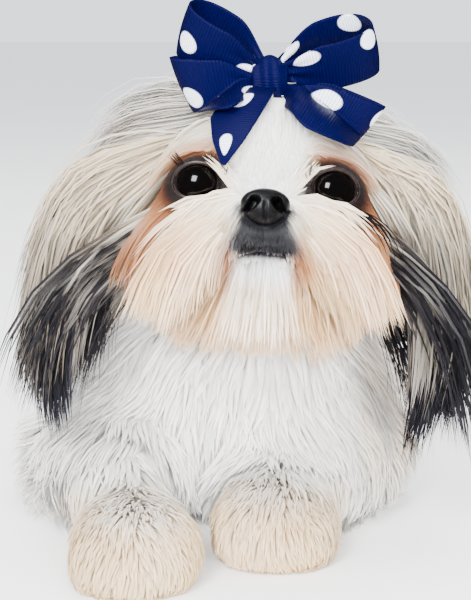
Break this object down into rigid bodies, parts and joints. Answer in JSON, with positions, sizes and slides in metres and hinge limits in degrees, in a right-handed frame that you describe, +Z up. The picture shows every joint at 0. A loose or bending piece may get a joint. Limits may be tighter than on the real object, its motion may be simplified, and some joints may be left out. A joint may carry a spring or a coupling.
{
  "type": "shih tzu",
  "caption": "Long-coated small dog lying on its belly, head raised, with a dotted ribbon bow on its topknot.",
  "frame": {"origin": "middle of the bounding box, on the floor that the dog lies on", "axes": "+Z up, -Y the way the dog faces, +X to its left; +Y runs from its forepaws to its rump"},
  "size_m": [0.226, 0.437, 0.2361],
  "materials": {
    "white_coat": "soft white dog hair",
    "cream_coat": "soft cream dog hair",
    "tan_coat": "soft tan dog hair",
    "grey_coat": "silky silver grey dog hair",
    "dark_coat": "silky charcoal dog hair",
    "nose_leather": "moist black pebbled nose leather",
    "eye": "wet, very dark brown eye",
    "ribbon": "royal blue ribbed ribbon with white dots"
  },
  "bodies": {
    "root": {"eye_left": "eye", "eye_right": "eye", "nose": "nose_leather", "bow_knot": "ribbon", "bow_end": "ribbon", "bow_upper_left": "ribbon", "bow_upper_right": "ribbon", "bow_lower_left": "ribbon", "bow_lower_right": "ribbon", "topknot": "grey_coat", "muzzle": "cream_coat", "jaw": "tan_coat", "ear_left": "dark_coat", "ear_right": "dark_coat", "head": "white_coat", "neck": "grey_coat", "chest": "white_coat", "tail": "white_coat", "forepaw_left": "cream_coat", "foreleg_left": "white_coat", "forepaw_right": "cream_coat", "foreleg_right": "white_coat", "hindpaw_left": "cream_coat", "hindleg_left": "white_coat", "hindpaw_right": "cream_coat", "hindleg_right": "white_coat", "torso": "white_coat"}
  },
  "joints": []
}
